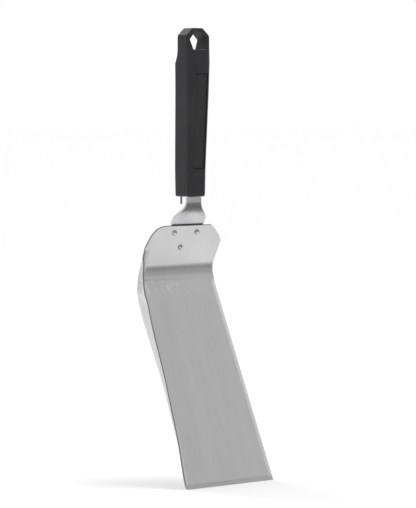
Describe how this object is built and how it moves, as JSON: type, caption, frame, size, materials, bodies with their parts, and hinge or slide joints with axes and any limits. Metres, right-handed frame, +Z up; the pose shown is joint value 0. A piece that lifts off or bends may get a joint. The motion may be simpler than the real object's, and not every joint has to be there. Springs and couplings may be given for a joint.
{
  "type": "grill spatula",
  "caption": "Long grill spatula with a folded steel blade, one side wall, riveted shank and an upright moulded handle with a hang hole.",
  "frame": {"origin": "centre of the footprint on the surface under the blade's front edge", "axes": "+Z up the handle, +X across the blade to the user's right as seen from the food side, -Y towards the food side"},
  "size_m": [0.1164, 0.091, 0.4523],
  "materials": {
    "blade_steel": "long-grain brushed stainless sheet, edges deburred",
    "shank_steel": "pressed stainless strip, fine satin finish with smooth cut edges",
    "rivet_steel": "bright stainless rivet, tumbled smooth",
    "spring_steel": "plain bright strip and pin steel",
    "handle_plastic": "dark charcoal glass-filled nylon, fine spark texture",
    "grip_plastic": "near-black soft-touch moulding with fine lengthwise lines"
  },
  "bodies": {
    "root": {"blade": "blade_steel", "shank": "shank_steel", "rivet_left": "rivet_steel", "rivet_right": "rivet_steel", "rivet_lower": "rivet_steel", "handle_body": "handle_plastic", "front_grip_inlay": "grip_plastic", "rear_grip_inlay": "grip_plastic", "tang_clip": "spring_steel", "tang_pin_lower": "spring_steel", "tang_pin_upper": "spring_steel"}
  },
  "joints": []
}
